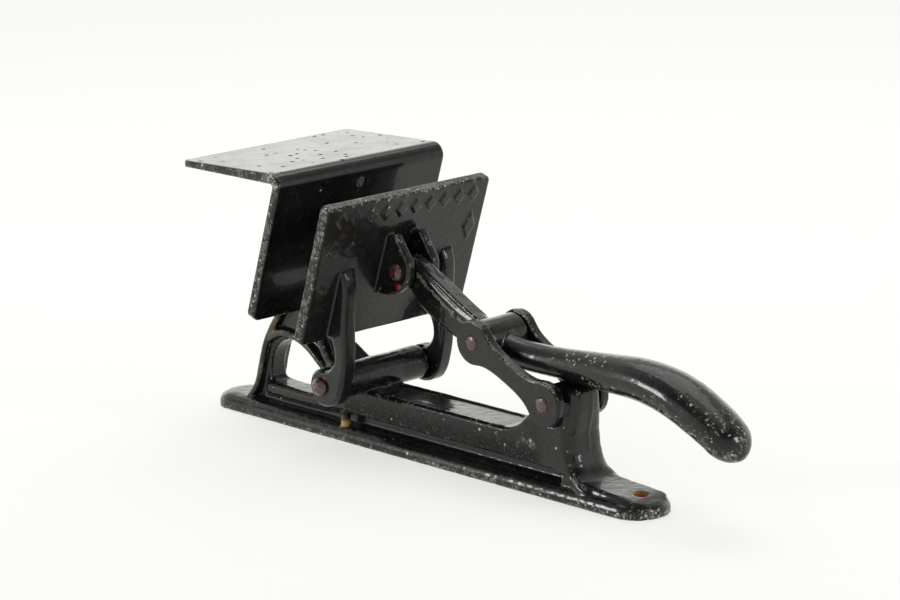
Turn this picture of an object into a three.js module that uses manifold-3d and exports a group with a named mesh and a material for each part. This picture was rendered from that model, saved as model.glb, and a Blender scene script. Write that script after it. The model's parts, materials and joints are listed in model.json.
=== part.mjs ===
// Bench-mounted toggle press with two leaning cast-iron jaws.
// X runs along the foot towards the handle, Y across the jaws, Z up, in millimetres.
// The origin is the centre of the foot's underside.

import * as THREE from 'three';
import { mergeVertices } from 'three/addons/utils/BufferGeometryUtils.js';
import Module from 'manifold-3d';

const wasm = await Module();
wasm.setup();

// ---------------------------------------------------------------- driving dimensions

const FOOT = { length: 296, width: 30, side: 3, thick: 7.4, slope: 7.5, holeX: 135.5, holeR: 3.2 };
const LEAN = THREE.MathUtils.degToRad(18.6);

// Axes of the four pivots, each parallel to Y.
const JAW_PIVOT = new THREE.Vector2(-37.8, 33.4);
const CLEVIS = new THREE.Vector2(-11, 88.6);
const LINK_TOP = new THREE.Vector2(45.8, 65.3);
const LINK_BOTTOM = new THREE.Vector2(90.4, 44.4);

const FIXED = { footX: -68.3, footZ: 64, topZ: 136.8, halfW: 53, thick: 5, bendR: 6.2 };
const SHELF = { tipX: -113.5, tipThick: 3.2 };
const MOVING = { footX: -33, footZ: 56.5, height: 72, halfW: 51.8, thick: 6 };

const BEAM = { left: -50, right: 66, low: 13.5, top: 27.3, half: 11.9, edge: 2.6, trayDeep: 0.9 };
const UPRIGHT = { foot: -4, top: 68.4, pad: 4 };
const SEAT = { half: 11.3, r: 11.7 };
const POST = { topZ: 51.3, bossR: 8, notchX: 94, notchHalf: 8.4, notchZ: 45 };
// Front, rear and half width of the post's rounded back, at heights going up.
const POST_BACK = [
  [6, 105, 119, 13.4], [7.8, 104.5, 116, 13.2], [9.2, 103, 112, 12.8], [12, 100, 107.6, 12.3],
  [13.5, 89, 106.2, 12.1], [16, 89, 104.6, 11.9], [22, 89, 102.7, 11.6], [30, 89, 101.9, 11.4],
  [36, 89, 103, 10.6], [41, 89, 103.9, 9.6], [46, 89, 104.2, 9], [49.6, 89, 103.9, 8.8],
  [51.2, 89, 102.8, 8],
];
const WEB_HALF = 4.8;
const FLANGE_HALF = 9;
const RAIL_HALF = 7.4;
const TUBE = { r: 8.2, half: 27 };

const ARM = { inner: 27.5, outer: 36 };
const LUG = { inner: 5.1, outer: 10.4 };
const LINK = { inner: 11.7, outer: 16.7, bossR: 10.6, neckHalf: 5.3 };
const EYE = { r: 6.4, half: 4.6 };
const HUB = { r: 9.4, half: 11.3 };

// The lever's eye is a slot: the pin has this much play towards the hub.
const SLOT_TRAVEL = new THREE.Vector2(2.75, -1.75);
const SLOT_FIT = 0.55;

// Shank radius, head radius and head height of each rivet.
const PIVOT_ROD = { shank: 3.3, head: 4.7, dome: 3.4 };
const CLEVIS_PIN = { shank: 3, head: 4.4, dome: 2.4 };
const LINK_PIN = { shank: 3, head: 3.6, dome: 0.9 };
const JAW_RIVET = { shank: 2, dimple: 1.1, sunk: 0.2 };
// How far up the fixed jaw's plate its two rivets sit.
const JAW_RIVETS = [65.6, 14];

const FIXED_FIT = 0.15;
const RUNNING_FIT = 0.3;
const REST_GAP = 0.3;
const HEAD_GAP = 0.1;
const ROUND = 24;

// ---------------------------------------------------------------- solid helpers

function solid(geometry) {
  const bare = geometry.index ? geometry.toNonIndexed() : geometry.clone();
  bare.deleteAttribute('normal');
  bare.deleteAttribute('uv');
  const merged = mergeVertices(bare, 1e-4);
  const index = Array.from(merged.index.array);
  const kept = [];
  for (let i = 0; i < index.length; i += 3) {
    const [a, b, c] = index.slice(i, i + 3);
    if (a !== b && b !== c && c !== a) kept.push(a, b, c);
  }
  const mesh = new wasm.Mesh({
    numProp: 3,
    vertProperties: new Float32Array(merged.attributes.position.array),
    triVerts: new Uint32Array(kept),
  });
  return new wasm.Manifold(mesh);
}

function join(pieces) {
  return pieces.reduce((whole, piece) => whole.add(piece));
}

function cut(body, tools) {
  return tools.reduce((rest, tool) => rest.subtract(tool), body);
}

function toGeometry(body) {
  const mesh = body.getMesh();
  const geometry = new THREE.BufferGeometry();
  geometry.setAttribute('position', new THREE.BufferAttribute(mesh.vertProperties, 3));
  geometry.setIndex(new THREE.BufferAttribute(mesh.triVerts, 1));
  geometry.computeVertexNormals();
  return geometry;
}

// Extrudes an X-Z outline across Y, from -half to +half, with rounded long edges.
function across(shape, half, bevel = 0, curveSegments = 7) {
  const geometry = new THREE.ExtrudeGeometry(shape, {
    depth: 2 * (half - bevel),
    bevelEnabled: bevel > 0,
    bevelThickness: bevel,
    bevelSize: bevel,
    bevelOffset: -bevel,
    bevelSegments: 1,
    curveSegments,
  });
  geometry.translate(0, 0, -(half - bevel));
  geometry.rotateX(Math.PI / 2);
  return geometry;
}

// The same, between two Y values.
function acrossBetween(shape, y0, y1, bevel = 0, curveSegments = 7) {
  const geometry = across(shape, Math.abs(y1 - y0) / 2, bevel, curveSegments);
  geometry.translate(0, (y0 + y1) / 2, 0);
  return geometry;
}

function pinBore(centre, radius, half) {
  const bore = new THREE.CylinderGeometry(radius, radius, 2 * half, ROUND);
  bore.translate(centre.x, 0, centre.y);
  return solid(bore);
}

function disc(centre, radius) {
  const shape = new THREE.Shape();
  shape.absarc(centre.x, centre.y, radius, 0, 2 * Math.PI);
  return shape;
}

// A bar outline with round ends, from x = low to x = high at the middles of its ends.
function roundEnded(low, high, r) {
  const shape = new THREE.Shape();
  shape.absarc(high, 0, r, -Math.PI / 2, Math.PI / 2);
  shape.absarc(low, 0, r, Math.PI / 2, (3 * Math.PI) / 2);
  return shape;
}

// A bar that follows an X-Z line with the same thickness all along.
function strip(points, thick) {
  const curve = new THREE.SplineCurve(points.map(([x, z]) => new THREE.Vector2(x, z)));
  const count = points.length * 4;
  const left = [];
  const right = [];
  for (let i = 0; i <= count; i += 1) {
    const at = curve.getPoint(i / count);
    const along = curve.getTangent(i / count);
    const side = new THREE.Vector2(-along.y, along.x).multiplyScalar(thick / 2);
    left.push(at.clone().add(side));
    right.unshift(at.clone().sub(side));
  }
  return new THREE.Shape([...right, ...left]);
}

// A rounded body along an X-Z line; size(t) gives its half height and half width,
// and ease above 1 packs the rings towards the far end.
function loft(points, size, rings, sides, ease = 1) {
  const curve = new THREE.SplineCurve(points.map(([x, z]) => new THREE.Vector2(x, z)));
  const geometry = new THREE.CylinderGeometry(1, 1, 1, sides, rings);
  const position = geometry.attributes.position;
  for (let i = 0; i < position.count; i += 1) {
    const u = THREE.MathUtils.clamp(position.getY(i) + 0.5, 0, 1);
    const t = 1 - (1 - u) ** ease;
    const at = curve.getPointAt(t);
    const along = curve.getTangentAt(t);
    const { high, wide } = size(t);
    const up = position.getX(i) * high;
    const y = position.getZ(i) * wide;
    position.setXYZ(i, at.x - along.y * up, y, at.y + along.x * up);
  }
  return geometry;
}

// A rivet along Y: a shank with a low domed head on each end, clear of faces at +-face.
function rivet(centre, size, face) {
  const { shank, head, dome } = size;
  const seat = face + HEAD_GAP;
  const profile = [new THREE.Vector2(0, -seat - dome)];
  const steps = 3;
  for (let i = 1; i <= steps; i += 1) {
    const a = (i / steps) * (Math.PI / 2);
    profile.push(new THREE.Vector2(head * Math.sin(a), -seat - dome * Math.cos(a)));
  }
  profile.push(new THREE.Vector2(shank, -seat));
  profile.push(new THREE.Vector2(shank, seat));
  for (let i = steps; i >= 1; i -= 1) {
    const a = (i / steps) * (Math.PI / 2);
    profile.push(new THREE.Vector2(head * Math.sin(a), seat + dome * Math.cos(a)));
  }
  profile.push(new THREE.Vector2(0, seat + dome));
  const geometry = new THREE.LatheGeometry(profile, ROUND);
  geometry.translate(centre.x, 0, centre.y);
  return solid(geometry);
}

// ---------------------------------------------------------------- leaning jaw frames

// A point on a leaning jaw: s mm up the plate from its foot, n mm out of its face.
function onJaw(jaw, s, n) {
  const x = jaw.footX + s * Math.sin(LEAN) + n * Math.cos(LEAN);
  const z = jaw.footZ + s * Math.cos(LEAN) - n * Math.sin(LEAN);
  return new THREE.Vector2(x, z);
}

// Turns a solid drawn with X = out of the face, Y = across, Z = up the plate.
function placeOnJaw(geometry, jaw) {
  geometry.rotateY(LEAN);
  geometry.translate(jaw.footX, 0, jaw.footZ);
  return geometry;
}

// ---------------------------------------------------------------- base casting

function footOutline(inset) {
  const run = (FOOT.length - FOOT.width) / 2;
  return roundEnded(-run, run, FOOT.width / 2 - inset);
}

// Bar with an upright side and a low rounded top, standing on its flat underside.
function footPlate() {
  const geometry = new THREE.ExtrudeGeometry(footOutline(0), {
    depth: FOOT.side,
    bevelThickness: FOOT.thick - FOOT.side,
    bevelSize: FOOT.slope,
    bevelOffset: -FOOT.slope,
    bevelSegments: 3,
    curveSegments: 14,
  });
  const below = new THREE.BoxGeometry(2 * FOOT.length, 2 * FOOT.width, FOOT.width);
  below.translate(0, 0, -FOOT.width / 2);
  return cut(solid(geometry), [solid(below)]);
}

// Low mound that carries the screw hole, running out from the rear post.
function screwMound() {
  const shape = new THREE.Shape();
  shape.moveTo(96, 2);
  shape.lineTo(96, 12);
  shape.lineTo(104, 12);
  shape.quadraticCurveTo(112, 9.2, 130, 8.8);
  shape.lineTo(137, 8.3);
  shape.quadraticCurveTo(142.5, 7.8, 144.6, 5.6);
  shape.lineTo(146, 2);
  const options = { depth: FOOT.width, bevelEnabled: false, curveSegments: 14 };
  const within = new THREE.ExtrudeGeometry(footOutline(1.8), options);
  return solid(across(shape, 11.4, 1.2)).intersect(solid(within));
}

function beamCap() {
  const shape = new THREE.Shape();
  shape.moveTo(BEAM.left, BEAM.low);
  shape.lineTo(BEAM.right, BEAM.low);
  shape.lineTo(BEAM.right, BEAM.top);
  shape.lineTo(BEAM.left + 6, BEAM.top);
  shape.quadraticCurveTo(BEAM.left, BEAM.top, BEAM.left, BEAM.top - 6);
  return solid(across(shape, BEAM.half, 1.3));
}

// Shallow tray in the beam's top, which leaves a raised edge on each side.
function beamTray() {
  const tray = roundEnded(JAW_PIVOT.x + 16, BEAM.right - 16, BEAM.half - BEAM.edge);
  const geometry = new THREE.ExtrudeGeometry(tray, { depth: 8, bevelEnabled: false, curveSegments: 8 });
  geometry.translate(0, 0, BEAM.top - BEAM.trayDeep);
  return solid(geometry);
}

function rearPost() {
  const { x, y } = LINK_BOTTOM;
  const shape = new THREE.Shape();
  shape.moveTo(60, BEAM.low);
  shape.lineTo(60, BEAM.top);
  shape.bezierCurveTo(66, BEAM.top + 0.2, 72, 30.5, 79.6, 40);
  shape.absarc(x, y, POST.bossR, 3.4, 1.9, true);
  shape.lineTo(x, 54);
  shape.lineTo(99.4, 54);
  shape.bezierCurveTo(99.7, 44, 98.8, 36, 99, 31);
  shape.bezierCurveTo(99.3, 22, 101.6, 15.4, 106.4, 11.2);
  shape.quadraticCurveTo(110, 8.4, 117, 7.6);
  shape.lineTo(124, 5);
  shape.lineTo(106, 4);
  shape.lineTo(101.6, BEAM.low);
  const above = new THREE.BoxGeometry(60, 60, 20);
  above.translate(x, 0, POST.topZ + 10);
  const seats = [-1, 1].map((side) => {
    const seat = new THREE.CylinderGeometry(SEAT.r, SEAT.r, 10, 36);
    return solid(seat.translate(x, side * (SEAT.half + 5), y));
  });
  const notches = [-1, 1].map((side) => {
    const notch = new THREE.BoxGeometry(20, 10, 20);
    return solid(notch.translate(POST.notchX + 10, side * (POST.notchHalf + 5), POST.notchZ + 10));
  });
  return cut(solid(across(shape, BEAM.half, 1)), [solid(above), ...seats, ...notches]);
}

// The post's back: a rounded column, narrower at its head and flaring out into the foot.
function postBack() {
  const last = POST_BACK.length - 1;
  const square = 0.55;
  const geometry = new THREE.CylinderGeometry(1, 1, 1, 36, last);
  const position = geometry.attributes.position;
  for (let i = 0; i < position.count; i += 1) {
    const level = Math.round((position.getY(i) + 0.5) * last);
    const [z, front, rear, half] = POST_BACK[level];
    const run = position.getX(i);
    const side = -position.getZ(i);
    const x = (front + rear) / 2 + Math.sign(run) * Math.abs(run) ** square * (rear - front) / 2;
    position.setXYZ(i, x, Math.sign(side) * Math.abs(side) ** square * half, z);
  }
  return solid(geometry);
}

// Outline of the thin web that ties the foot, beam, arch and upright together.
function webPlate() {
  const back = onJaw(FIXED, 0, -FIXED.thick / 2 - REST_GAP);
  const shape = new THREE.Shape();
  shape.moveTo(-126, 3);
  shape.bezierCurveTo(-118, 14, -116, 30, -110, 40);
  shape.bezierCurveTo(-102, 54, -84, 74, -76, 88);
  shape.lineTo(back.x - 1.4, 70);
  shape.lineTo(back.x - 1.4, 60);
  shape.lineTo(-60, 46);
  shape.lineTo(JAW_PIVOT.x, JAW_PIVOT.y);
  shape.lineTo(JAW_PIVOT.x, BEAM.top - 2);
  shape.lineTo(98, 20);
  shape.lineTo(101, 3);
  const window = new THREE.Shape();
  window.moveTo(-110.5, 23);
  window.bezierCurveTo(-110.5, 30, -106, 37.6, -98, 40.2);
  window.bezierCurveTo(-91, 42, -84, 40.5, -78, 36.4);
  window.lineTo(-60.5, 23);
  window.quadraticCurveTo(-57.5, 18, -63, 17);
  window.lineTo(-103, 15.6);
  window.quadraticCurveTo(-110.5, 15.6, -110.5, 23);
  return cut(solid(across(shape, WEB_HALF)), [solid(across(window, 2 * WEB_HALF))]);
}

// Flange round the outside of the front arch, carried up behind the fixed jaw.
function archFlange() {
  const points = [[-133, 2.5], [-124, 7], [-117.5, 15], [-113.5, 27], [-109.5, 38], [-102.5, 49]];
  const upper = [[-92, 62], [-82, 76], [-72, 94], [-62, 113], [-54.5, 129]];
  return solid(across(strip([...points, ...upper], 3.6), FLANGE_HALF, 0.9));
}

// Flange that arches over the window and comes down to the beam.
function windowFlange() {
  const points = [[-110, 38.5], [-100, 43.6], [-88, 43.6], [-78, 39.6], [-67, 31.4], [-56, 22.5]];
  return solid(across(strip(points, 3.6), FLANGE_HALF, 0.9));
}

// Flange from the cross tube up to the foot of the fixed jaw.
function frontFlange() {
  const seat = onJaw(FIXED, 5, -FIXED.thick / 2 - REST_GAP - 5.2);
  const points = [[-52, 25], [-62, 33.5], [-69.5, 46], [seat.x, seat.y]];
  return solid(across(strip(points, 4.2), FLANGE_HALF, 0.9));
}

// Upright behind the fixed jaw: a pad against the plate on a thin rib.
function upright() {
  const face = -FIXED.thick / 2 - REST_GAP;
  const foot = onJaw(FIXED, UPRIGHT.foot, face);
  const top = onJaw(FIXED, UPRIGHT.top, face);
  const topBack = onJaw(FIXED, UPRIGHT.top, face - UPRIGHT.pad);
  const footBack = onJaw(FIXED, UPRIGHT.foot, face - UPRIGHT.pad);
  const pad = new THREE.Shape([foot, top, topBack, footBack].reverse());
  const ribTop = onJaw(FIXED, UPRIGHT.top - 2.4, face - 2);
  const ribTopBack = onJaw(FIXED, UPRIGHT.top - 2.4, face - 9);
  const ribFoot = onJaw(FIXED, UPRIGHT.foot, face - 2);
  const rib = new THREE.Shape([ribFoot, ribTop, ribTopBack, new THREE.Vector2(-100, 51)].reverse());
  return join([solid(across(pad, FLANGE_HALF + 2, 0.8)), solid(across(rib, WEB_HALF, 0))]);
}

// Lower rail of the window, a thicker bar on the web.
function lowerRail() {
  const points = [[-112, 13.6], [-96, 13.2], [-74, 13.4], [-46, 16]];
  return solid(across(strip(points, 6.4), RAIL_HALF, 1.6));
}

// Short vertical nib below the beam's left end.
function railNib() {
  const nib = new THREE.CylinderGeometry(2.4, 2.4, 11, 16);
  nib.rotateX(Math.PI / 2);
  nib.translate(BEAM.left + 0.6, 0, 9);
  const near = nib.clone().translate(0, -BEAM.half + 1.6, 0);
  const far = nib.clone().translate(0, BEAM.half - 1.6, 0);
  return join([solid(near), solid(far)]);
}

function crossTube() {
  return solid(across(disc(JAW_PIVOT, TUBE.r), TUBE.half, 0.8, 14));
}

function jawRivetBore(s) {
  const r = JAW_RIVET.shank + FIXED_FIT;
  const bore = new THREE.CylinderGeometry(r, r, 24, ROUND);
  bore.rotateZ(Math.PI / 2);
  bore.translate(-6, 0, s);
  return solid(placeOnJaw(bore, FIXED));
}

function baseFrame() {
  const body = join([
    footPlate(),
    screwMound(),
    cut(beamCap(), [beamTray()]),
    rearPost(),
    postBack(),
    webPlate(),
    archFlange(),
    windowFlange(),
    frontFlange(),
    upright(),
    lowerRail(),
    railNib(),
    crossTube(),
  ]);
  const screw = new THREE.CylinderGeometry(FOOT.holeR, FOOT.holeR, 60, ROUND);
  screw.rotateX(Math.PI / 2);
  screw.translate(FOOT.holeX, 0, 0);
  return cut(body, [
    solid(screw),
    pinBore(JAW_PIVOT, PIVOT_ROD.shank + RUNNING_FIT, 60),
    pinBore(LINK_BOTTOM, LINK_PIN.shank + RUNNING_FIT, 60),
    ...JAW_RIVETS.map(jawRivetBore),
  ]);
}

// ---------------------------------------------------------------- fixed jaw

// Side profile: a leaning plate bent over into a shelf that thins towards its tip.
function fixedJawProfile() {
  const half = FIXED.thick / 2;
  const out = new THREE.Vector2(Math.cos(LEAN), -Math.sin(LEAN));
  const frontFoot = onJaw(FIXED, 0, half);
  const backFoot = onJaw(FIXED, 0, -half);
  const bendZ = FIXED.topZ - FIXED.bendR;
  const rise = (bendZ - frontFoot.y - FIXED.bendR * Math.sin(LEAN)) / Math.cos(LEAN);
  const bend = new THREE.Vector2(frontFoot.x + rise * Math.sin(LEAN) - FIXED.bendR * out.x, bendZ);
  const inner = FIXED.bendR - FIXED.thick;
  const shape = new THREE.Shape();
  shape.moveTo(backFoot.x, backFoot.y);
  shape.lineTo(frontFoot.x, frontFoot.y);
  shape.absarc(bend.x, bend.y, FIXED.bendR, -LEAN, Math.PI / 2, false);
  shape.lineTo(SHELF.tipX, FIXED.topZ - FIXED.thick + SHELF.tipThick);
  shape.lineTo(SHELF.tipX, FIXED.topZ - FIXED.thick);
  shape.absarc(bend.x, bend.y, inner, Math.PI / 2, -LEAN, true);
  return shape;
}

// What is left of a square corner outside a quarter circle of radius r.
function cornerShape(r) {
  const shape = new THREE.Shape();
  shape.moveTo(-1, -1);
  shape.lineTo(r, -1);
  shape.lineTo(r, 0);
  shape.absarc(r, r, r, (3 * Math.PI) / 2, Math.PI, true);
  shape.lineTo(-1, r);
  return shape;
}

function fixedJaw() {
  const plate = solid(across(fixedJawProfile(), FIXED.halfW, 0.7));
  const tools = JAW_RIVETS.map(jawRivetBore);
  for (const side of [-1, 1]) {
    const low = new THREE.ExtrudeGeometry(cornerShape(4.5), { depth: 30, bevelEnabled: false });
    low.rotateX(Math.PI / 2);
    low.rotateZ(Math.PI / 2);
    low.translate(-15, -FIXED.halfW, 0);
    if (side > 0) low.rotateZ(Math.PI);
    tools.push(solid(placeOnJaw(low, FIXED)));
    const tip = new THREE.ExtrudeGeometry(cornerShape(3), { depth: 30, bevelEnabled: false });
    if (side > 0) tip.rotateZ(-Math.PI / 2);
    tip.translate(SHELF.tipX, side * FIXED.halfW, FIXED.topZ - 15);
    tools.push(solid(tip));
  }
  return cut(plate, tools);
}

// Flush rivet through the jaw and the pad behind it, with a small dimple in its face.
function jawRivet(s) {
  const length = FIXED.thick + REST_GAP + UPRIGHT.pad;
  const shank = new THREE.CylinderGeometry(JAW_RIVET.shank, JAW_RIVET.shank, length, ROUND);
  shank.rotateZ(Math.PI / 2);
  shank.translate(FIXED.thick / 2 - JAW_RIVET.sunk - length / 2, 0, s);
  const dimple = new THREE.SphereGeometry(JAW_RIVET.dimple, 12, 8);
  dimple.translate(FIXED.thick / 2 + 0.4, 0, s);
  return cut(solid(placeOnJaw(shank, FIXED)), [solid(placeOnJaw(dimple, FIXED))]);
}

// ---------------------------------------------------------------- moving jaw

function jawPlate() {
  const { halfW, height, thick } = MOVING;
  const r = 2.5;
  const shape = new THREE.Shape();
  shape.absarc(halfW - r, height - r, r, 0, Math.PI / 2);
  shape.absarc(r - halfW, height - r, r, Math.PI / 2, Math.PI);
  shape.absarc(r - halfW, r, r, Math.PI, (3 * Math.PI) / 2);
  shape.absarc(halfW - r, r, r, (3 * Math.PI) / 2, 2 * Math.PI);
  const bevel = 0.9;
  const geometry = new THREE.ExtrudeGeometry(shape, {
    depth: thick - 2 * bevel,
    bevelThickness: bevel,
    bevelSize: bevel,
    bevelOffset: -bevel,
    bevelSegments: 1,
    curveSegments: 4,
  });
  geometry.translate(0, 0, bevel - thick);
  // Outline X becomes Y, outline Y becomes height, and the depth runs out of the face.
  geometry.rotateX(Math.PI / 2);
  geometry.rotateZ(Math.PI / 2);
  return solid(placeOnJaw(geometry, MOVING));
}

// A raised lozenge on the jaw's rear face, centred at (y, s).
function lozenge(y, s, halfY, halfS) {
  const shape = new THREE.Shape();
  shape.moveTo(-halfY, 0);
  shape.lineTo(0, -halfS);
  shape.lineTo(halfY, 0);
  shape.lineTo(0, halfS);
  const geometry = new THREE.ExtrudeGeometry(shape, { depth: 2, bevelEnabled: false });
  geometry.rotateX(Math.PI / 2);
  geometry.rotateZ(Math.PI / 2);
  geometry.translate(-1, y, s);
  return solid(placeOnJaw(geometry, MOVING));
}

function jawOrnament() {
  const count = 10;
  const pitch = 9.3;
  const pieces = [];
  for (let i = 0; i < count; i += 1) {
    pieces.push(lozenge((i - (count - 1) / 2) * pitch, 64.8, 3.3, 3.9));
  }
  pieces.push(lozenge(-43, 50, 4, 4));
  pieces.push(lozenge(-32, 49, 3, 3));
  pieces.push(lozenge(43.5, 47, 3.6, 7.4));
  return pieces;
}

// Rib on the jaw's rear face that runs down into a hooked boss on the pivot rod.
function jawArm(side) {
  const { x, y } = JAW_PIVOT;
  const ribTop = onJaw(MOVING, 37.5, -1);
  const inPlate = onJaw(MOVING, 0.5, -2);
  const shape = new THREE.Shape();
  shape.moveTo(ribTop.x, ribTop.y);
  shape.lineTo(ribTop.x + 2.4, ribTop.y - 1.6);
  shape.lineTo(-18.4, 87);
  shape.bezierCurveTo(-17.2, 80, -20.4, 68, -20, 62);
  shape.bezierCurveTo(-19.6, 55, -20.2, 47, -22, 40);
  shape.bezierCurveTo(-23.4, 34, -25.4, 27.4, -31, 24.8);
  shape.bezierCurveTo(-35.4, 22.8, -42.4, 22.4, -44.9, 29.4);
  shape.absarc(x, y, 8.15, -2.63, 1.3, true);
  shape.quadraticCurveTo(-30, 42.6, -28.4, 47.4);
  shape.quadraticCurveTo(-27.6, 52, -30.4, 57.4);
  shape.lineTo(inPlate.x, inPlate.y);
  return solid(acrossBetween(shape, side * ARM.inner, side * ARM.outer, 1.4, 8));
}

// Ear of the clevis that carries the lever's front pin.
function jawLug(side) {
  const { x, y } = CLEVIS;
  const top = onJaw(MOVING, 50.5, -1);
  const crest = onJaw(MOVING, 54, 4.6);
  const shoulder = onJaw(MOVING, 45.5, 16);
  const nose = onJaw(MOVING, 41.5, 18.2);
  const low = onJaw(MOVING, 29, 15);
  const foot = onJaw(MOVING, 21.5, 2);
  const inside = onJaw(MOVING, 20.5, -1);
  const shape = new THREE.Shape();
  shape.moveTo(top.x, top.y);
  shape.lineTo(crest.x, crest.y);
  shape.lineTo(shoulder.x, shoulder.y);
  shape.quadraticCurveTo(nose.x + 0.6, nose.y + 2, nose.x, nose.y);
  shape.quadraticCurveTo(x + 9, y - 5, low.x, low.y);
  shape.quadraticCurveTo(low.x - 5, low.y - 4, foot.x, foot.y);
  shape.lineTo(inside.x, inside.y);
  return solid(acrossBetween(shape, side * LUG.inner, side * LUG.outer, 1, 6));
}

function movingJaw() {
  const body = join([
    jawPlate(),
    ...jawOrnament(),
    jawArm(-1),
    jawArm(1),
    jawLug(-1),
    jawLug(1),
  ]);
  return cut(body, [
    pinBore(JAW_PIVOT, PIVOT_ROD.shank + FIXED_FIT, 60),
    pinBore(CLEVIS, CLEVIS_PIN.shank + FIXED_FIT, 20),
  ]);
}

// ---------------------------------------------------------------- toggle links and lever

function linkShape() {
  const shape = new THREE.Shape();
  const along = LINK_BOTTOM.clone().sub(LINK_TOP);
  const length = along.length();
  const turn = Math.atan2(along.y, along.x);
  const r = LINK.bossR;
  const neck = LINK.neckHalf;
  const wrap = 0.95;
  const lip = { x: r * Math.cos(wrap), y: r * Math.sin(wrap) };
  shape.absarc(0, 0, r, wrap, 2 * Math.PI - wrap, false);
  shape.bezierCurveTo(lip.x + 5, -neck, length / 2 - 6, -neck, length / 2, -neck);
  shape.bezierCurveTo(length / 2 + 6, -neck, length - lip.x - 5, -neck, length - lip.x, -lip.y);
  shape.absarc(length, 0, r, wrap - Math.PI, Math.PI - wrap, false);
  shape.bezierCurveTo(length - lip.x - 5, neck, length / 2 + 6, neck, length / 2, neck);
  shape.bezierCurveTo(length / 2 - 6, neck, lip.x + 5, neck, lip.x, lip.y);
  return { shape, turn };
}

function toggleLink(side) {
  const { shape, turn } = linkShape();
  const geometry = acrossBetween(shape, side * LINK.inner, side * LINK.outer, 0.9, 9);
  geometry.rotateY(-turn);
  geometry.translate(LINK_TOP.x, 0, LINK_TOP.y);
  return cut(solid(geometry), [
    pinBore(LINK_TOP, LINK_PIN.shank + FIXED_FIT, 40),
    pinBore(LINK_BOTTOM, LINK_PIN.shank + FIXED_FIT, 40),
  ]);
}

// Flat web of the lever, from the eye to the hub.
function leverWeb() {
  const { x, y } = CLEVIS;
  const shape = new THREE.Shape();
  shape.moveTo(x + 1, y + 6.2);
  shape.bezierCurveTo(x + 12, y + 5, x + 26, y - 6, x + 46, y - 15);
  shape.lineTo(LINK_TOP.x, LINK_TOP.y);
  shape.lineTo(LINK_TOP.x - 8, LINK_TOP.y - 6);
  shape.quadraticCurveTo(29, 59.2, 22, 61);
  shape.bezierCurveTo(12, 64.4, 4, 68.4, -2.4, 72.6);
  shape.quadraticCurveTo(-8, 78, x, y - EYE.r + 0.2);
  return solid(across(shape, 3.9, 0.8));
}

// Rounded bead along the web's upper edge.
function leverBead() {
  const { x, y } = CLEVIS;
  const points = [[x + 2, y + 1.4], [x + 9, y + 0.8], [8, 82.4], [22, 74.2], [34, 69.4], [44, 66]];
  return solid(loft(points, () => ({ high: 4.7, wide: EYE.half }), 14, 16));
}

// Curved hand grip, running out of the hub and rounded at its tip.
function leverGrip() {
  const line = [
    [48, 62], [60, 60], [78, 59.6], [98, 60.2], [118, 60.8],
    [140, 61], [158, 57.8], [172, 52.2], [184, 45.8], [196, 36.8],
  ];
  const heights = new THREE.SplineCurve([
    [0, 7.2], [0.2, 7], [0.32, 7.5], [0.45, 8.6], [0.6, 9.6], [0.75, 10.2], [0.9, 9.7], [1, 8.4],
  ].map(([t, h]) => new THREE.Vector2(t, h)));
  const widths = new THREE.SplineCurve([
    [0, 7], [0.2, 6.6], [0.32, 7.4], [0.45, 9.4], [0.6, 11.2], [0.75, 12.2], [0.9, 11.6], [1, 9.8],
  ].map(([t, w]) => new THREE.Vector2(t, w)));
  const tipStart = 0.925;
  const size = (t) => {
    const along = THREE.MathUtils.clamp((t - tipStart) / (1 - tipStart), 0, 0.985);
    const rounding = Math.sqrt(1 - along * along);
    return { high: readCurve(heights, t) * rounding, wide: readCurve(widths, t) * rounding };
  };
  return solid(loft(line, size, 40, 30, 1.5));
}

// Value of a curve of (t, value) points at t, by bisection on its first coordinate.
function readCurve(curve, t) {
  let low = 0;
  let high = 1;
  for (let i = 0; i < 24; i += 1) {
    const middle = (low + high) / 2;
    if (curve.getPoint(middle).x < t) low = middle;
    else high = middle;
  }
  return curve.getPoint(low).y;
}

function eyeSlot() {
  const r = CLEVIS_PIN.shank + SLOT_FIT;
  const turn = Math.atan2(SLOT_TRAVEL.y, SLOT_TRAVEL.x);
  const geometry = across(roundEnded(0, SLOT_TRAVEL.length(), r), 20, 0, 12);
  geometry.rotateY(-turn);
  geometry.translate(CLEVIS.x, 0, CLEVIS.y);
  return solid(geometry);
}

function lever() {
  const eye = across(disc(CLEVIS, EYE.r), EYE.half, 0.6, 12);
  const hub = across(disc(LINK_TOP, HUB.r), HUB.half, 0.8, 14);
  const body = join([leverWeb(), leverBead(), solid(eye), solid(hub), leverGrip()]);
  return cut(body, [eyeSlot(), pinBore(LINK_TOP, LINK_PIN.shank + RUNNING_FIT, 40)]);
}

// ---------------------------------------------------------------- assembly

const BLACK_PAINT = { color: 0x17181a, roughness: 0.32, metalness: 0.25 };
const LEVER_PAINT = { color: 0x1b1c1e, roughness: 0.36, metalness: 0.3 };
const RUSTED_STEEL = { color: 0x4a2a24, roughness: 0.5, metalness: 0.45 };

function addPiece(parent, name, body, look) {
  const mesh = new THREE.Mesh(toGeometry(body), new THREE.MeshStandardMaterial(look));
  mesh.name = name;
  parent.add(mesh);
}

const press = new THREE.Group();

const base = new THREE.Group();
addPiece(base, 'base_frame', baseFrame(), BLACK_PAINT);
addPiece(base, 'fixed_jaw', fixedJaw(), BLACK_PAINT);
addPiece(base, 'fixed_jaw_rivet_upper', jawRivet(JAW_RIVETS[0]), RUSTED_STEEL);
addPiece(base, 'fixed_jaw_rivet_lower', jawRivet(JAW_RIVETS[1]), RUSTED_STEEL);
press.add(base);

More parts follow.
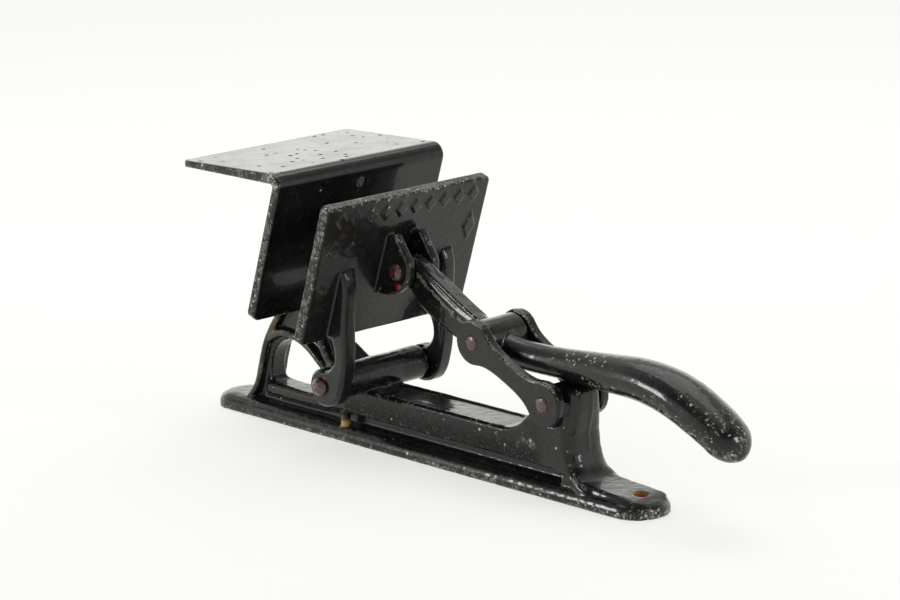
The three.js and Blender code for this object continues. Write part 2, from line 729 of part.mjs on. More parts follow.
const jaw = new THREE.Group();
addPiece(jaw, 'moving_jaw', movingJaw(), BLACK_PAINT);
addPiece(jaw, 'jaw_pivot_rod', rivet(JAW_PIVOT, PIVOT_ROD, ARM.outer), RUSTED_STEEL);
addPiece(jaw, 'clevis_pin', rivet(CLEVIS, CLEVIS_PIN, LUG.outer), RUSTED_STEEL);
press.add(jaw);

const links = new THREE.Group();
addPiece(links, 'toggle_link_near', toggleLink(-1), BLACK_PAINT);
addPiece(links, 'toggle_link_far', toggleLink(1), BLACK_PAINT);
addPiece(links, 'link_top_pin', rivet(LINK_TOP, LINK_PIN, LINK.outer), RUSTED_STEEL);
addPiece(links, 'link_bottom_pin', rivet(LINK_BOTTOM, LINK_PIN, LINK.outer), RUSTED_STEEL);
press.add(links);

addPiece(press, 'lever', lever(), LEVER_PAINT);

export default press;
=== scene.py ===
"""Looks for a small cast-iron lever toggle press: black japanned castings with worn edges, rusty pins."""

import json
import math

import bpy
import numpy as np
from mathutils import Matrix, Vector

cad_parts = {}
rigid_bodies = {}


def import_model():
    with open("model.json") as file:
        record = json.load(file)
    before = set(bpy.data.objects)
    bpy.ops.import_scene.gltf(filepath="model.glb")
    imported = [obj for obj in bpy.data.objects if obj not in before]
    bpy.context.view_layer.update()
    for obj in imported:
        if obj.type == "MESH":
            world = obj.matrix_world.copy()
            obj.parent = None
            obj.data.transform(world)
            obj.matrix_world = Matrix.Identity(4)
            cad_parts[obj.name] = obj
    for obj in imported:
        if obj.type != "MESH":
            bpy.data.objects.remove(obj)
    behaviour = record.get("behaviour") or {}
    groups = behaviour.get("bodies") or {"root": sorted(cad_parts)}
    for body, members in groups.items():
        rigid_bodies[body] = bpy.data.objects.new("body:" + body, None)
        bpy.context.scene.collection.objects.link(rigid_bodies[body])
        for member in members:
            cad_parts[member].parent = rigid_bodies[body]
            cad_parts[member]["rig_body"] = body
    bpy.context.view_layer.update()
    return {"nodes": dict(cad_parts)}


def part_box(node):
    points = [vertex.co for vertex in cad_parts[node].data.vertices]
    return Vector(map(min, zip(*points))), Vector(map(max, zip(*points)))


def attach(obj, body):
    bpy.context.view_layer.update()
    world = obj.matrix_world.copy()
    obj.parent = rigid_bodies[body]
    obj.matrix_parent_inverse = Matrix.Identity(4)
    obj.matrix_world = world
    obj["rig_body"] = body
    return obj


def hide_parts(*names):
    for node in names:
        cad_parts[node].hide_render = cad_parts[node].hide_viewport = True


MM = 0.001

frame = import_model()
nodes = frame["nodes"]


# ---------------------------------------------------------------- noise and mesh helpers


def lattice(cells, seed):
    """A repeatable pseudo-random value in 0..1 for each integer cell."""
    x, y, z = (cells[:, i].astype(np.int64) for i in range(3))
    h = (x * 374761393 + y * 668265263 + z * 2147483647 + seed * 974634777) & 0x7FFFFFFF
    h = ((h ^ (h >> 13)) * 1274126177) & 0x7FFFFFFF
    h = ((h ^ (h >> 16)) * 1103515245) & 0x7FFFFFFF
    return (h & 0xFFFFFF) / 0xFFFFFF


def noise(points, scale, seed):
    """Smooth value noise in -1..1; scale is the size of a bump in metres."""
    p = points / scale
    base = np.floor(p)
    f = p - base
    f = f * f * (3 - 2 * f)
    total = np.zeros(len(points))
    for dx in (0, 1):
        for dy in (0, 1):
            for dz in (0, 1):
                corner = base + np.array((dx, dy, dz))
                wx = f[:, 0] if dx else 1 - f[:, 0]
                wy = f[:, 1] if dy else 1 - f[:, 1]
                wz = f[:, 2] if dz else 1 - f[:, 2]
                total += wx * wy * wz * lattice(corner, seed)
    return total * 2 - 1


def ramp(value, low, high):
    """0 below low, 1 above high, smooth in between."""
    t = np.clip((value - low) / (high - low), 0, 1)
    return t * t * (3 - 2 * t)


def near(points, centre, inner, outer):
    """1 within inner of a point, 0 beyond outer."""
    return 1 - ramp(np.linalg.norm(points - np.array(centre), axis=1), inner, outer)


def coordinates(mesh):
    co = np.empty(len(mesh.vertices) * 3, np.float32)
    mesh.vertices.foreach_get("co", co)
    return co.reshape(-1, 3).astype(float)


def normals(mesh):
    n = np.empty(len(mesh.vertices) * 3, np.float32)
    mesh.vertex_normals.foreach_get("vector", n)
    return n.reshape(-1, 3).astype(float)


def edges(mesh):
    e = np.empty(len(mesh.edges) * 2, np.int32)
    mesh.edges.foreach_get("vertices", e)
    return e.reshape(-1, 2)


def smoothed(points, pairs, steps, share=0.5):
    """Moves each point towards the mean of its neighbours, steps times."""
    count = len(points)
    a, b = pairs[:, 0], pairs[:, 1]
    links = np.bincount(a, minlength=count) + np.bincount(b, minlength=count)
    links = np.maximum(links, 1)
    out = points.copy()
    for _ in range(steps):
        for k in range(out.shape[1]):
            column = out[:, k]
            total = np.bincount(a, column[b], count) + np.bincount(b, column[a], count)
            out[:, k] = column + share * (total / links - column)
    return out


def evened(points, pairs, steps):
    """Evens out facets and steps without shrinking the shape: each pull is followed by a push."""
    for _ in range(steps):
        points = smoothed(smoothed(points, pairs, 1, 0.5), pairs, 1, -0.52)
    return points


def put(mesh, points):
    mesh.vertices.foreach_set("co", points.astype(np.float32).ravel())
    mesh.update()


def store(mesh, name, values):
    layer = mesh.attributes.new(name, "FLOAT", "POINT")
    layer.data.foreach_set("value", np.clip(values, 0, 1).astype(np.float32))


def cast_copy(node, name, voxel, steps):
    """A dense, softly rounded copy of a CAD node, which stands for it and rides on its body."""
    source = nodes[node]
    mesh = source.data.copy()
    piece = bpy.data.objects.new(name, mesh)
    bpy.context.scene.collection.objects.link(piece)
    remesh = piece.modifiers.new("remesh", "REMESH")
    remesh.mode = "VOXEL"
    remesh.voxel_size = voxel
    bpy.context.view_layer.update()
    graph = bpy.context.evaluated_depsgraph_get()
    dense = bpy.data.meshes.new_from_object(piece.evaluated_get(graph), depsgraph=graph)
    piece.modifiers.clear()
    piece.data = dense
    dense.name = name
    dense.materials.clear()
    put(dense, evened(coordinates(dense), edges(dense), steps))
    dense.polygons.foreach_set("use_smooth", [True] * len(dense.polygons))
    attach(piece, source["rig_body"])
    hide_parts(node)
    return piece


def weather(piece, swell, grain, seed, reach=10):
    """Uneven casting skin in the shape itself, then the edge and hollow masks for the paint."""
    mesh = piece.data
    points, out, pairs = coordinates(mesh), normals(mesh), edges(mesh)
    bump = swell * noise(points, 11 * MM, seed)
    bump += grain * noise(points, 2.6 * MM, seed + 1)
    bump += 0.6 * grain * noise(points, 1.3 * MM, seed + 2)
    points += out * bump[:, None]
    put(mesh, points)
    blurred = smoothed(points, pairs, reach)
    relief = np.einsum("ij,ij->i", points - blurred, normals(mesh))
    store(mesh, "edge", ramp(relief, 0.03 * MM, 0.22 * MM))
    store(mesh, "hollow", ramp(-relief, 0.03 * MM, 0.2 * MM))
    return points, normals(mesh)


# ---------------------------------------------------------------- material helpers


class Tree:
    """Short names for the shader nodes used here."""

    def __init__(self, name):
        self.material = bpy.data.materials.new(name)
        self.material.use_nodes = True
        self.tree = self.material.node_tree
        self.tree.nodes.clear()
        self.space = self.node("ShaderNodeTexCoord").outputs["Object"]

    def node(self, kind, **settings):
        made = self.tree.nodes.new(kind)
        for key, value in settings.items():
            setattr(made, key, value)
        return made

    def join(self, value, socket):
        if isinstance(value, bpy.types.NodeSocket):
            self.tree.links.new(value, socket)
        else:
            socket.default_value = value

    def math(self, operation, a, b=0.0, clamp=False):
        made = self.node("ShaderNodeMath", operation=operation, use_clamp=clamp)
        self.join(a, made.inputs[0])
        self.join(b, made.inputs[1])
        return made.outputs[0]

    def mask(self, name):
        made = self.node("ShaderNodeAttribute", attribute_name=name)
        return made.outputs["Fac"]

    def noise(self, size, detail=3, rough=0.55):
        """Noise whose bumps are about size metres across."""
        made = self.node("ShaderNodeTexNoise")
        self.join(self.space, made.inputs["Vector"])
        made.inputs["Scale"].default_value = 1 / size
        made.inputs["Detail"].default_value = detail
        made.inputs["Roughness"].default_value = rough
        return made.outputs["Fac"]

    def cells(self, size):
        """Cells about size metres across: how far each cell's middle is, and two random values for it."""
        made = self.node("ShaderNodeTexVoronoi")
        self.join(self.space, made.inputs["Vector"])
        made.inputs["Scale"].default_value = 1 / size
        pick = self.node("ShaderNodeSeparateColor")
        self.join(made.outputs["Color"], pick.inputs[0])
        return made.outputs["Distance"], pick.outputs[0], pick.outputs[1]

    def step(self, value, low, high, out_low=0.0, out_high=1.0):
        made = self.node("ShaderNodeMapRange", interpolation_type="SMOOTHSTEP")
        self.join(value, made.inputs["Value"])
        self.join(low, made.inputs["From Min"])
        self.join(high, made.inputs["From Max"])
        self.join(out_low, made.inputs["To Min"])
        self.join(out_high, made.inputs["To Max"])
        return made.outputs["Result"]

    def mix(self, factor, a, b):
        made = self.node("ShaderNodeMix", data_type="RGBA")
        self.join(factor, made.inputs["Factor"])
        self.join(colour(a), made.inputs["A"])
        self.join(colour(b), made.inputs["B"])
        return made.outputs["Result"]

    def blend(self, factor, a, b):
        made = self.node("ShaderNodeMix", data_type="FLOAT")
        self.join(factor, made.inputs["Factor"])
        self.join(a, made.inputs["A"])
        self.join(b, made.inputs["B"])
        return made.outputs["Result"]

    def bump(self, height, depth, strength):
        made = self.node("ShaderNodeBump")
        self.join(height, made.inputs["Height"])
        made.inputs["Distance"].default_value = depth
        made.inputs["Strength"].default_value = strength
        return made.outputs[0]

    def finish(self, base, rough, metal, normal, coat, coat_rough, specular=0.5):
        shader = self.node("ShaderNodeBsdfPrincipled")
        self.join(base, shader.inputs["Base Color"])
        self.join(rough, shader.inputs["Roughness"])
        self.join(metal, shader.inputs["Metallic"])
        self.join(normal, shader.inputs["Normal"])
        self.join(coat, shader.inputs["Coat Weight"])
        self.join(coat_rough, shader.inputs["Coat Roughness"])
        self.join(specular, shader.inputs["Specular IOR Level"])
        output = self.node("ShaderNodeOutputMaterial")
        self.tree.links.new(shader.outputs[0], output.inputs["Surface"])
        return self.material


def colour(value):
    if isinstance(value, tuple) and len(value) == 3:
        return (*value, 1.0)
    return value


BLACK = (0.0035, 0.0036, 0.0036)
THIN_BLACK = (0.0085, 0.0088, 0.0084)
DUSTY = (0.03, 0.03, 0.027)
SCUFF = (0.085, 0.080, 0.066)
PALE_SCUFF = (0.19, 0.18, 0.155)
BARE = (0.34, 0.325, 0.285)
TAN = (0.135, 0.105, 0.058)
BRASS = (0.36, 0.27, 0.08)
RUST = (0.30, 0.085, 0.018)
RED = (0.20, 0.006, 0.014)
DARK_RUST = (0.028, 0.009, 0.007)
RED_RUST = (0.085, 0.030, 0.024)
RUBBED = (0.30, 0.20, 0.18)

MASKS = ("worn", "chipped", "tan", "rust", "coarse", "pitted", "red", "grime")


def japan(name, gloss, grain, chips, dust, rim=0.4):
    """Black japan over cast iron: roughness, skin, scattered flecks, dust in hollows and wear of edges.

    The masks stored on the mesh say where it is worn, rusty and so on.
    """
    t = Tree(name)
    hollow = t.mask("hollow")
    worn, chipped, tan, rust, coarse, pitted, red, grime = (t.mask(mask) for mask in MASKS)

    broad = t.noise(16 * MM, 4)
    edge = t.math("MULTIPLY", t.mask("edge"), t.step(t.noise(13 * MM, 3, 0.6), 0.46, 0.6))
    middle = t.noise(3.2 * MM, 5, 0.62)
    fine = t.noise(0.9 * MM, 4, 0.65)
    mottle = t.step(t.math("ADD", t.math("MULTIPLY", middle, 0.5), t.math("MULTIPLY", fine, 0.5)), 0.37, 0.63)

    # Scuffed paint: the wanted share of the surface, broken up by the mottle.
    want = t.math("ADD", t.math("MULTIPLY", edge, rim), t.math("MULTIPLY", worn, 0.8))
    scuff = t.step(t.math("ADD", mottle, want), 0.96, 1.14)

    # Flecks of bare metal, in cells of which only some are picked.
    distance, lot, span = t.cells(1.5 * MM)
    ragged = t.math("ADD", distance, t.math("MULTIPLY", fine, 1.1))
    share = t.math("MULTIPLY", t.math("ADD", t.math("MULTIPLY", edge, 0.2), worn), 0.3)
    share = t.math("ADD", share, t.math("MULTIPLY", chipped, 0.8))
    share = t.math("ADD", share, 0.008 * chips)
    small = t.step(span, 0.2, 1.0, 0.64, 0.98)
    fleck = t.step(ragged, small, t.math("ADD", small, 0.12), 1.0, 0.0)
    fleck = t.math("MULTIPLY", fleck, t.math("LESS_THAN", lot, share))

    # Tan worn paint, rust, pits in the top of the shelf, and painted glints: bright grains standing in for
    # highlights on rough casting skin.
    tan_mask = t.math("MULTIPLY", tan, t.step(t.math("ADD", middle, tan), 0.8, 1.3))
    rust_mask = t.math("MULTIPLY", rust, t.step(t.math("ADD", mottle, rust), 0.75, 1.3))
    distance, lot, _ = t.cells(5 * MM)
    dent = t.math("ADD", distance, t.math("MULTIPLY", fine, 0.4))
    dent = t.math("MULTIPLY", t.step(dent, 0.36, 0.48, 1.0, 0.0), t.math("LESS_THAN", lot, 0.34))
    speck = t.step(t.noise(2.4 * MM, 3, 0.6), 0.68, 0.73)
    pit = t.math("MULTIPLY", t.math("MAXIMUM", dent, speck), pitted)
    # Painted shade: this mask takes the paint's reflection away, so the surface reads dark where shade falls.
    pit = t.math("MAXIMUM", pit, grime)
    painted_glint = t.math("MULTIPLY", t.step(t.noise(0.8 * MM, 2, 0.6), 0.63, 0.7), coarse)

    dusty = t.math("MULTIPLY", t.step(broad, 0.45, 0.7), dust)
    dusty = t.math("ADD", dusty, t.math("MULTIPLY", hollow, 0.6 * dust), clamp=True)
    base = t.mix(t.step(middle, 0.35, 0.7), BLACK, THIN_BLACK)
    base = t.mix(dusty, base, DUSTY)
    base = t.mix(scuff, base, t.mix(t.step(fine, 0.42, 0.66), SCUFF, PALE_SCUFF))
    base = t.mix(tan_mask, base, t.mix(t.step(tan, 0.9, 1.0), TAN, BRASS))
    base = t.mix(painted_glint, base, PALE_SCUFF)
    base = t.mix(fleck, base, BARE)
    base = t.mix(rust_mask, base, RUST)
    base = t.mix(red, base, RED)

    spoiled = t.math("MAXIMUM", t.math("MAXIMUM", scuff, fleck), t.math("MAXIMUM", tan_mask, rust_mask))
    spoiled = t.math("MAXIMUM", spoiled, pit)
    rough = t.step(broad, 0.3, 0.7, gloss, gloss + 0.12)
    rough = t.blend(spoiled, rough, 0.5)
    dulled = t.math("MAXIMUM", spoiled, t.math("MULTIPLY", coarse, 0.8))
    coat = t.math("MULTIPLY", t.math("SUBTRACT", 1.0, dulled, clamp=True), 0.42)

    height = t.math("MULTIPLY", fine, t.math("MULTIPLY", coarse, 1.6))
    height = t.math("ADD", t.math("MULTIPLY", middle, grain), height)
    height = t.math("SUBTRACT", height, t.math("MULTIPLY", spoiled, 0.5))
    normal = t.bump(height, 0.25 * MM, 0.6)
    specular = t.blend(pit, t.blend(coarse, 0.2, 0.1), 0.0)
    metal = t.math("MULTIPLY", fleck, 0.5)
    return t.finish(base, rough, metal, normal, coat, 0.08, specular)


def pin_steel(name):
    """Old rivet steel: dark red-brown, half glossy, rubbed bright here and there."""
    t = Tree(name)
    edge = t.mask("edge")
    mottle = t.noise(1.6 * MM, 5, 0.6)
    fine = t.noise(0.5 * MM, 4, 0.6)
    base = t.mix(t.step(mottle, 0.38, 0.62), DARK_RUST, RED_RUST)
    bright = t.step(t.math("ADD", mottle, t.math("MULTIPLY", edge, 0.1)), 0.66, 0.76)
    base = t.mix(bright, base, RUBBED)
    rough = t.step(fine, 0.3, 0.7, 0.16, 0.32)
    normal = t.bump(mottle, 0.3 * MM, 0.7)
    return t.finish(base, rough, t.math("MULTIPLY", bright, 0.5), normal, coat=0.5, coat_rough=0.12)


# ---------------------------------------------------------------- the castings

foot_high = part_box("base_frame")[1]
jaw_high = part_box("moving_jaw")[1]
shelf_low, shelf_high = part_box("fixed_jaw")
lever_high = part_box("lever")[1]

VOXEL = 1.0
# How far the moving jaw's plate leans, and the foot of its middle plane in X and Z.
LEAN = math.radians(18.6)
PLATE_FOOT = (-33 * MM, 56.5 * MM)
# The screw hole in the foot, the brass nib beside the foot, and the hub at the links' upper ends.
SCREW_HOLE = (135.5 * MM, 0)
NIB = (-49.4 * MM, -10.3 * MM)
HUB = (45.8 * MM, 65.3 * MM)


def paint(piece, material, **masks):
    """Stores the masks that the paint reads, zero where none is given, and puts the paint on."""
    zero = np.zeros(len(piece.data.vertices))
    for name in MASKS:
        store(piece.data, name, masks.get(name, zero))
    piece.data.materials.append(material)


def patches(points, size, seed, low=-0.1, high=0.4):
    """Soft patches of 0..1, about size metres across."""
    return ramp(noise(points, size, seed), low, high)


def above_plate(points):
    """How far each point stands off the middle plane of the moving jaw's plate."""
    run, rise = points[:, 0] - PLATE_FOOT[0], points[:, 2] - PLATE_FOOT[1]
    return run * math.cos(LEAN) - rise * math.sin(LEAN)


def make_frame_casting():
    piece = cast_copy("base_frame", "frame_casting", 0.72 * MM * VOXEL, 10)
    points, out = coordinates(piece.data), normals(piece.data)
    # An old run of paint down the rear of the post.
    rear = ramp(out[:, 0], 0.35, 0.8) * ramp(points[:, 0], 96 * MM, 97.5 * MM)
    rear *= ramp(-points[:, 0], -122 * MM, -108 * MM)
    run = 1.5 * MM + 1.2 * MM * noise(points * (0, 0, 1), 9 * MM, 41)
    crest = np.exp(-(((points[:, 1] - run) / (0.9 * MM)) ** 2)) * ramp(points[:, 2], 17 * MM, 25 * MM)
    put(piece.data, points + out * (0.3 * MM * rear * crest)[:, None])
    points, out = weather(piece, 0.10 * MM, 0.07 * MM, 11, 8)
    points[:, 2] = np.maximum(points[:, 2], 0)
    put(piece.data, points)
    x, y, z = points.T
    end = ramp(x, 0.62 * foot_high.x, 0.9 * foot_high.x)
    rim = ramp(-z, (-3.1 - 0.9 * end) * MM, -1.8 * MM)
    worn = rim * (0.2 + 0.5 * patches(points, 17 * MM, 5) + 0.2 * end)
    worn += 0.3 * end * patches(points, 6 * MM, 7, 0.1, 0.6) * ramp(-z, -6.4 * MM, -4.8 * MM)
    scuffed = ramp(x, 40 * MM, 60 * MM) * ramp(-x, -88 * MM, -76 * MM)
    scuffed *= ramp(z, 19 * MM, 21 * MM) * ramp(-z, -29 * MM, -24 * MM)
    worn += 0.4 * scuffed * patches(points, 5 * MM, 8, 0.0, 0.5)
    # A painted highlight: a thin bright line, painted as wear, where the post's cheek turns to its back.
    cheek_highlight = np.interp(z / MM, (9, 12, 17.5, 24, 31, 36), (109, 105, 102, 100.4, 100, 100)) * MM
    cheek_highlight = ramp(-np.abs(x - cheek_highlight), -0.9 * MM, -0.35 * MM) * ramp(-z, -34 * MM, -28 * MM)
    cheek_highlight *= ramp(z, 8.6 * MM, 10 * MM)
    worn += 0.55 * cheek_highlight * ramp(np.abs(y), 10.2 * MM, 10.8 * MM)
    chipped = 0.25 * end * rim
    flange = ramp(np.abs(y), 7.2 * MM, 8.2 * MM) * ramp(-np.abs(y), -9.6 * MM, -9.2 * MM)
    tan = 0.65 * flange * ramp(-x, 56 * MM, 62 * MM) * ramp(z, 9 * MM, 16 * MM) * ramp(-z, -62 * MM, -56 * MM)
    tan *= 0.45 + 0.55 * patches(points, 8 * MM, 10, -0.3, 0.3)
    nib = near(points[:, :2], NIB, 2.6 * MM, 3.4 * MM) * ramp(-z, -14 * MM, -12.5 * MM)
    tan += nib * ramp(z, 5.5 * MM, 7 * MM) * ramp(-z, -13 * MM, -9 * MM)
    rust = near(points[:, :2], SCREW_HOLE, 3.3 * MM, 4.3 * MM) * ramp(-np.abs(out[:, 2]), -0.9, -0.5)
    rust += 0.25 * near(points, (-46 * MM, -11 * MM, 8 * MM), 2 * MM, 7 * MM)
    # Rough casting skin on the beam's sides: bumpier and duller, with painted glints on its grains.
    coarse = ramp(np.abs(y), 10.5 * MM, 11.4 * MM) * ramp(z, 9 * MM, 12 * MM) * ramp(-x, -88 * MM, -80 * MM)
    coarse *= 0.35 + 0.65 * ramp(-z, -25 * MM, -17 * MM)
    # Painted shade: the top of the post, under the lever, is made dull and unreflective so that it reads
    # dark.
    grime = ramp(z, 48.6 * MM, 50.4 * MM) * ramp(x, 76 * MM, 80 * MM)
    material = japan("frame_japan", 0.2, 0.5, 0.8, 0.1, 0.3)
    paint(piece, material, worn=worn, chipped=chipped, tan=tan, rust=rust, coarse=coarse, grime=grime)
    return piece


def make_fixed_jaw():
    piece = cast_copy("fixed_jaw", "fixed_jaw_plate", 0.6 * MM * VOXEL, 10)
    points, out = weather(piece, 0.02 * MM, 0.012 * MM, 23, 9)
    x, y, z = points.T
    side = ramp(np.abs(out[:, 1]), 0.6, 0.9)
    top = ramp(out[:, 2], 0.8, 0.95)
    worn = side * (0.3 + 0.35 * patches(points, 14 * MM, 3))
    worn += 0.4 * side * top
    bend = near(points, (-50 * MM, shelf_low.y, shelf_high.z - 3 * MM), 2 * MM, 8 * MM)
    worn += 1.1 * bend
    rust = near(points, (shelf_low.x, shelf_low.y, shelf_high.z - 3 * MM), 1 * MM, 5 * MM)
    material = japan("fixed_jaw_japan", 0.14, 0.08, 0.2, 0.05)
    paint(piece, material, worn=worn, chipped=0.5 * bend, pitted=top, rust=0.7 * rust)
    return piece


def make_moving_jaw():
    piece = cast_copy("moving_jaw", "moving_jaw_casting", 0.5 * MM * VOXEL, 6)
    # The two arms are rounder than the plate that they grow from.
    points, pairs = coordinates(piece.data), edges(piece.data)
    arm = ramp(np.abs(points[:, 1]), 24 * MM, 26 * MM) * ramp(-np.abs(points[:, 1]), -40 * MM, -38 * MM)
    soft = arm * ramp(above_plate(points), 0.8 * MM, 2.4 * MM) * ramp(points[:, 2], 44 * MM, 52 * MM)
    put(piece.data, points + soft[:, None] * (smoothed(points, pairs, 26) - points))
    points, out = weather(piece, 0.07 * MM, 0.04 * MM, 37, 9)
    drip = near(points, (-9.6 * MM, -10.4 * MM, 81.8 * MM), 0.7 * MM, 2.2 * MM) * ramp(-out[:, 1], 0.5, 0.9)
    points += out * (0.6 * MM * drip)[:, None]
    put(piece.data, points)
    x, y, z = points.T
    side = ramp(np.abs(out[:, 1]), 0.6, 0.9) * ramp(np.abs(y), 49 * MM, 50.5 * MM)
    top = ramp(z, jaw_high.z - 3.4 * MM, jaw_high.z - 1.4 * MM)
    worn = (0.5 + 0.4 * patches(points, 12 * MM, 9)) * np.maximum(side, top)
    raised = ramp(above_plate(points), 3.2 * MM, 3.6 * MM) * ramp(z, 96 * MM, 99 * MM)
    worn += 0.3 * raised * patches(points, 4 * MM, 12)
    rust = 0.8 * near(points, (-22 * MM, -48 * MM, 79 * MM), 1 * MM, 9 * MM) * patches(points, 4 * MM, 13)
    rust += 0.25 * near(points, (-13 * MM, -40 * MM, 108 * MM), 4 * MM, 16 * MM) * patches(points, 5 * MM, 15)
    material = japan("moving_jaw_japan", 0.24, 0.35, 0.4, 0.12)
    # Painted shade: surfaces facing +X on the near half are made duller and less reflective so that they read
    # darker.
    grime = 0.4 * ramp(-y, 0, 34 * MM) * ramp(out[:, 0], 0.7, 0.9)
    paint(piece, material, worn=worn, rust=rust, red=ramp(drip, 0.1, 0.5), grime=grime)
    return piece


def make_lever():
    piece = cast_copy("lever", "lever_casting", 0.5 * MM * VOXEL, 16)
    points, out = weather(piece, 0.12 * MM, 0.03 * MM, 53, 10)
    x, y, z = points.T
    under = ramp(-out[:, 2], -0.3, 0.6)
    tip = ramp(x, 0.66 * lever_high.x, 0.88 * lever_high.x)
    neck = ramp(x, 76 * MM, 90 * MM) * ramp(-x, -124 * MM, -106 * MM)
    below = ramp(-out[:, 2], 0.0, 0.7)
    chipped = 0.4 * below * ramp(x, 92 * MM, 106 * MM) * patches(points, 8 * MM, 21, -0.3, 0.4)
    chipped += 0.3 * neck * ramp(out[:, 2], 0.1, 0.6) * patches(points, 7 * MM, 22, -0.2, 0.3)
    chipped += 0.5 * tip * (0.25 + 0.75 * under) * patches(points, 9 * MM, 19)
    worn = 0.62 * patches(points, 9 * MM, 19, -0.4, 0.2) * tip * (0.35 + 0.65 * under)
    worn += 0.4 * below * ramp(x, 96 * MM, 116 * MM) * patches(points, 7 * MM, 21, -0.3, 0.3)
    worn += 0.35 * neck * ramp(out[:, 2], 0.1, 0.6) * patches(points, 6 * MM, 24, -0.1, 0.4)
    # A bright line where the bead along the web's top edge meets the flat of the web.
    crest = np.interp(x / MM, (-9, -2, 8, 22, 34, 44), (90, 89.4, 82.4, 74.2, 69.4, 66)) * MM
    line = ramp(crest - z, 0.6 * MM, 1.6 * MM) * ramp(z - crest, -4.4 * MM, -3.4 * MM)
    line *= ramp(-x, -36 * MM, -28 * MM) * ramp(x, -6 * MM, -2 * MM)
    worn += 0.9 * line * ramp(np.abs(y), 3 * MM, 3.6 * MM)
    hub = near(points[:, [0, 2]], HUB, 9.3 * MM, 10.4 * MM)
    tan = 0.5 * near(points, (88 * MM, -6 * MM, 57 * MM), 1 * MM, 5 * MM) + 0.35 * hub
    tan += 0.4 * ramp(-x, -2 * MM, 4 * MM) * ramp(out[:, 2], 0.2, 0.7)
    paint(piece, japan("lever_japan", 0.18, 0.25, 1.6, 0.08), worn=worn, chipped=chipped, tan=tan)
    return piece


def make_link(node, seed):
    piece = cast_copy(node, node + "_casting", 0.36 * MM * VOXEL, 7)
    points, out = weather(piece, 0.03 * MM, 0.02 * MM, seed, 8)
    scratch = near(points, (66 * MM, -16.7 * MM, 53 * MM), 1 * MM, 7 * MM)
    # Worn paint and painted highlight: a bright band on the upward-facing edges of the rims, where the bevels
    # catch the light.
    rim = ramp(out[:, 2], 0.1, 0.6) * ramp(np.abs(out[:, 1]), 0.15, 0.5)
    material = japan(node + "_japan", 0.2, 0.15, 0.2, 0.06, 0.4)
    paint(piece, material, worn=0.9 * rim, tan=0.45 * scratch * patches(points, 2.4 * MM, seed + 5, 0.2, 0.5))
    return piece


def make_pin(node, seed):
    piece = cast_copy(node, node + "_steel", 0.3 * MM * VOXEL, 3)
    weather(piece, 0.03 * MM, 0.05 * MM, seed, 5)
    piece.data.materials.append(pin_steel(node + "_rusted"))
    return piece


make_frame_casting()
make_fixed_jaw()
make_moving_jaw()
make_lever()
make_link("toggle_link_near", 61)
make_link("toggle_link_far", 67)
PINS = ("jaw_pivot_rod", "clevis_pin", "link_top_pin", "link_bottom_pin")
RIVETS = ("fixed_jaw_rivet_upper", "fixed_jaw_rivet_lower")
for index, node in enumerate(PINS + RIVETS):
    make_pin(node, 71 + 3 * index)


# ---------------------------------------------------------------- studio

# Level direction from the camera towards the backdrop.
AWAY = (-0.72, 0.69, 0)
AIM = (0, 0, 0.08)


def make_floor():
    """A seamless pale sheet. Part of its light is its own, as a lit backdrop's, which keeps shadows pale."""
    mesh = bpy.data.meshes.new("studio_floor")
    reach = 8.0
    corners = [(-reach, -reach, 0), (reach, -reach, 0), (reach, reach, 0), (-reach, reach, 0)]
    mesh.from_pydata(corners, [], [(0, 1, 2, 3)])
    floor = bpy.data.objects.new("studio_floor", mesh)
    bpy.context.scene.collection.objects.link(floor)
    t = Tree("studio_paper")
    depth = t.node("ShaderNodeVectorMath", operation="DOT_PRODUCT")
    t.join(t.space, depth.inputs[0])
    depth.inputs[1].default_value = AWAY
    # Painted light: the sheet's colour is paler towards the back, away from the camera.
    far = t.step(depth.outputs["Value"], -0.35, 0.5)
    paper_and_falloff = t.mix(far, (0.865, 0.858, 0.835), (0.935, 0.928, 0.905))
    paper = t.node("ShaderNodeBsdfDiffuse")
    t.join(paper_and_falloff, paper.inputs["Color"])
    glow = t.node("ShaderNodeEmission")
    t.join(paper_and_falloff, glow.inputs["Color"])
    glow.inputs["Strength"].default_value = 1.15
    sheet = t.node("ShaderNodeMixShader")
    t.join(0.6, sheet.inputs[0])
    t.join(paper.outputs[0], sheet.inputs[1])
    t.join(glow.outputs[0], sheet.inputs[2])
    output = t.node("ShaderNodeOutputMaterial")
    t.tree.links.new(sheet.outputs[0], output.inputs["Surface"])
    mesh.materials.append(t.material)


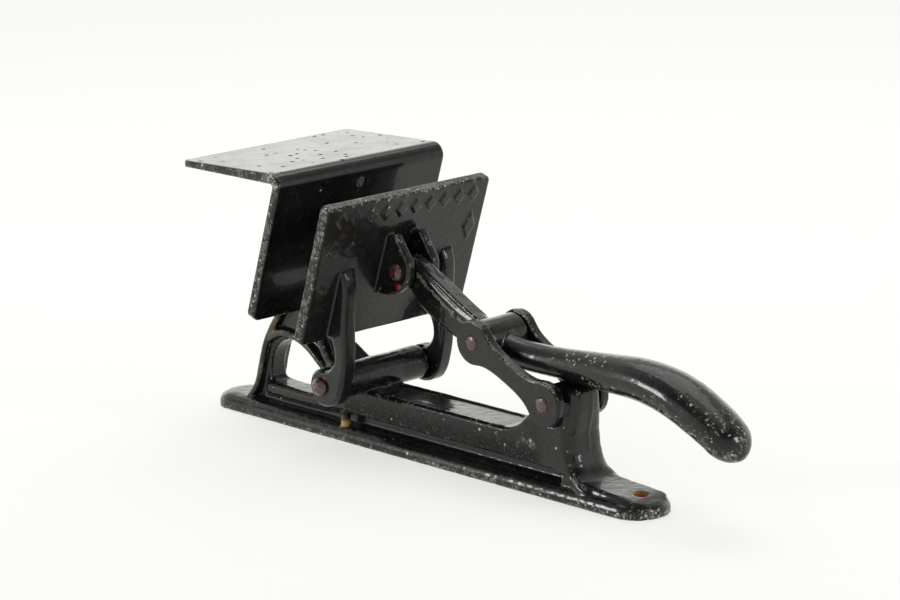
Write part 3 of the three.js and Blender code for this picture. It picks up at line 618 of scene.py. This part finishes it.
def make_world():
    """Bright low backdrop behind the press, dimmer in front of it, a dark room above and a pale ceiling."""
    t = Tree.__new__(Tree)
    world = bpy.data.worlds.new("studio")
    world.use_nodes = True
    t.tree = world.node_tree
    t.tree.nodes.clear()
    around = t.node("ShaderNodeTexCoord").outputs["Generated"]
    split = t.node("ShaderNodeSeparateXYZ")
    t.join(around, split.inputs[0])
    behind = t.node("ShaderNodeVectorMath", operation="DOT_PRODUCT")
    t.join(around, behind.inputs[0])
    behind.inputs[1].default_value = AWAY
    low = t.step(behind.outputs["Value"], -0.4, 0.85, 0.7, 1.6)
    middle = t.step(behind.outputs["Value"], -0.4, 0.7, 0.15, 0.8)
    light = t.blend(t.step(split.outputs["Z"], 0.3, 0.56), low, middle)
    light = t.blend(t.step(split.outputs["Z"], 0.84, 0.97), light, 1.1)
    shader = t.node("ShaderNodeBackground")
    shader.inputs["Color"].default_value = (0.985, 1, 0.95, 1)
    t.join(light, shader.inputs["Strength"])
    output = t.node("ShaderNodeOutputWorld")
    t.tree.links.new(shader.outputs[0], output.inputs["Surface"])
    bpy.context.scene.world = world


def make_softbox(name, place, target, size, power):
    lamp = bpy.data.lights.new(name, "AREA")
    lamp.shape = "RECTANGLE"
    lamp.size, lamp.size_y = size
    lamp.energy = power
    holder = bpy.data.objects.new(name, lamp)
    holder.location = place
    holder.rotation_mode = "QUATERNION"
    holder.rotation_quaternion = (Vector(target) - Vector(place)).to_track_quat("-Z", "Y")
    bpy.context.scene.collection.objects.link(holder)


def make_camera():
    """The picture's viewing angle: azimuth, height and roll of a long lens."""
    azimuth, height, roll = math.radians(46.71), math.radians(13.73), math.radians(-1.22)
    target, distance = Vector((14.5, 0, 77.4)) * MM, 1.547
    level = Vector((math.sin(azimuth), -math.cos(azimuth), 0))
    back = level * math.cos(height) + Vector((0, 0, math.sin(height)))
    right = Vector((math.cos(azimuth), math.sin(azimuth), 0))
    up = back.cross(right)
    turned_right = right * math.cos(roll) + up * math.sin(roll)
    turned_up = back.cross(turned_right)
    lens = bpy.data.cameras.new("camera")
    lens.sensor_width = 36
    lens.lens = 133.1
    camera = bpy.data.objects.new("camera", lens)
    turn = Matrix((turned_right, turned_up, back)).transposed().to_4x4()
    camera.matrix_world = Matrix.Translation(target + back * distance) @ turn
    bpy.context.scene.collection.objects.link(camera)
    bpy.context.scene.camera = camera


make_floor()
make_world()
make_softbox("overhead", (-0.3, 0.3, 1.4), AIM, (1.2, 1.2), 6.4)
make_softbox("left_lamp", (-0.84, -1.2, 0.36), AIM, (0.3, 0.4), 7)
make_softbox("right_lamp", (1.4, 0.18, 0.55), AIM, (0.3, 0.4), 6)
make_softbox("front_lamp", (0.5, -1.2, 0.95), AIM, (0.16, 0.24), 1.2)
make_softbox("post_lamp", (1.25, 0.73, 0.42), (0.1, 0, 0.02), (0.14, 0.3), 1.6)
make_camera()
bpy.context.scene.view_settings.view_transform = "Standard"
